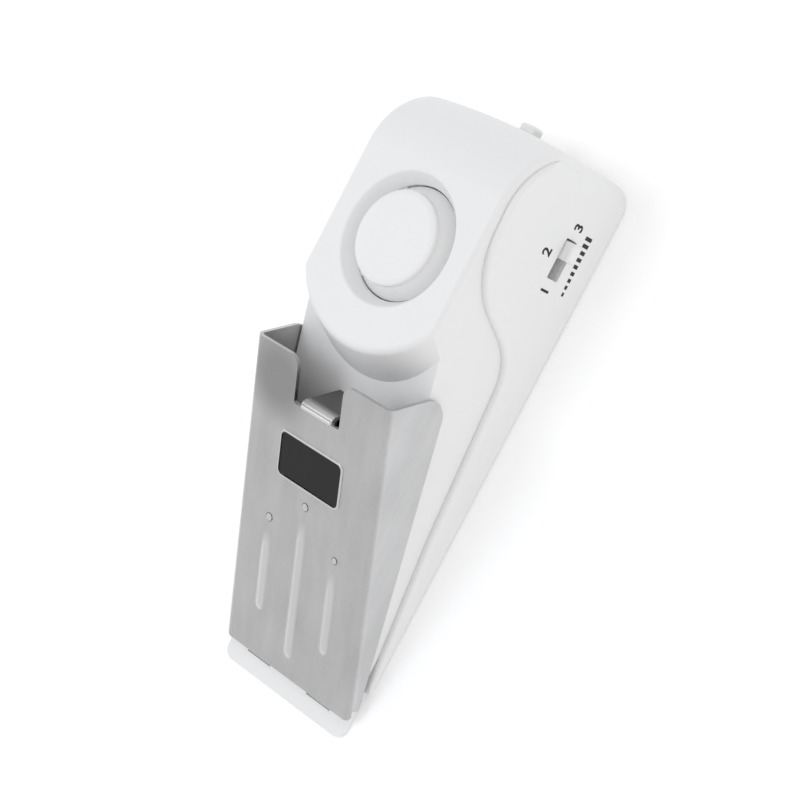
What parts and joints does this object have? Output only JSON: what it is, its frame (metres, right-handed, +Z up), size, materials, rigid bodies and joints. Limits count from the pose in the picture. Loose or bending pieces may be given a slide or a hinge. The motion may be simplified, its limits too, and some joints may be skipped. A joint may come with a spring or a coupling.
{
  "type": "portable burglar alarm",
  "caption": "White wedge-shaped door-stop alarm with a sprung stainless pressure plate, a round siren in its thick end, a side sensitivity switch and a rear power switch.",
  "frame": {"origin": "middle of the base on the floor: half way along the housing, on its centre plane", "axes": "+X from the thin tip to the thick rear end, +Z up, -Y the side with the sensitivity switch"},
  "size_m": [0.1426, 0.0476, 0.0405],
  "materials": {
    "white_abs": "fine satin moulded plastic",
    "stainless": "fine brushed, formed sheet",
    "black_label": "satin printed film",
    "rubber": "matt",
    "board": "solder mask over glass fibre",
    "brass": "rolled sheet",
    "ceramic": "fired ceramic with a silvered face",
    "plated_steel": "bright zinc or nickel plate",
    "dark_plastic": "moulded",
    "copper_winding": "enamelled copper",
    "resistor_body": "lacquered",
    "red_wire": "flexible insulation"
  },
  "bodies": {
    "base": {"upper_housing": "white_abs", "lower_housing": "white_abs", "siren_cap": "white_abs", "siren_lead_1": "white_abs", "siren_lead_2": "white_abs", "grip_pad_1": "rubber", "grip_pad_2": "rubber", "grip_pad_3": "rubber", "circuit_board": "board", "piezo_disc": "brass", "piezo_ceramic": "ceramic", "housing_screw_1": "plated_steel", "housing_screw_2": "plated_steel", "housing_screw_3": "plated_steel", "housing_screw_4": "plated_steel", "board_screw_1": "plated_steel", "board_screw_2": "plated_steel", "board_screw_3": "plated_steel", "board_screw_4": "plated_steel", "siren_screw_1": "plated_steel", "siren_screw_2": "plated_steel", "vibration_sensor": "plated_steel", "sensitivity_switch": "plated_steel", "power_switch": "plated_steel", "snap_stud_1": "plated_steel", "snap_stud_2": "plated_steel", "siren_chamber": "dark_plastic", "alarm_chip": "dark_plastic", "capacitor_1": "dark_plastic", "capacitor_2": "dark_plastic", "transistor": "dark_plastic", "trigger_switch": "dark_plastic", "battery_snap": "dark_plastic", "black_lead": "dark_plastic", "boost_coil": "copper_winding", "resistor_1": "resistor_body", "resistor_2": "resistor_body", "resistor_3": "resistor_body", "red_lead": "red_wire"},
    "plate": {"pressure_plate": "stainless", "label_plate": "black_label"},
    "plunger": {"lift_plunger": "dark_plastic", "return_spring": "plated_steel"},
    "side_knob": {"sensitivity_knob": "white_abs"},
    "rear_knob": {"power_knob": "white_abs"},
    "cover": {"battery_cover": "white_abs"}
  },
  "joints": [
    {"name": "plate_hinge", "type": "hinge", "parent": "base", "child": "plate", "pos_m": [-0.06427, 0, 0.00227], "axis": [0, 1, 0], "range_deg": [0, 8], "stiffness_Nm_per_rad": 1, "springref_deg": -3.44},
    {"name": "plunger_slide", "type": "slide", "parent": "base", "child": "plunger", "axis": [0, 0, -1], "range_m": [0, 0.0049], "deforming": ["return_spring"]},
    {"name": "sensitivity_slide", "type": "slide", "parent": "base", "child": "side_knob", "axis": [-1, 0, 0], "range_m": [0, 0.004]},
    {"name": "power_slide", "type": "slide", "parent": "base", "child": "rear_knob", "axis": [0, -1, 0], "range_m": [0, 0.004]},
    {"name": "battery_cover_slide", "type": "slide", "parent": "base", "child": "cover", "axis": [1, 0, 0], "range_m": [0, 0.05]}
  ],
  "couplings": [
    {"joint": "plunger_slide", "follows": "plate_hinge", "m_per_rad": 0.03455}
  ]
}
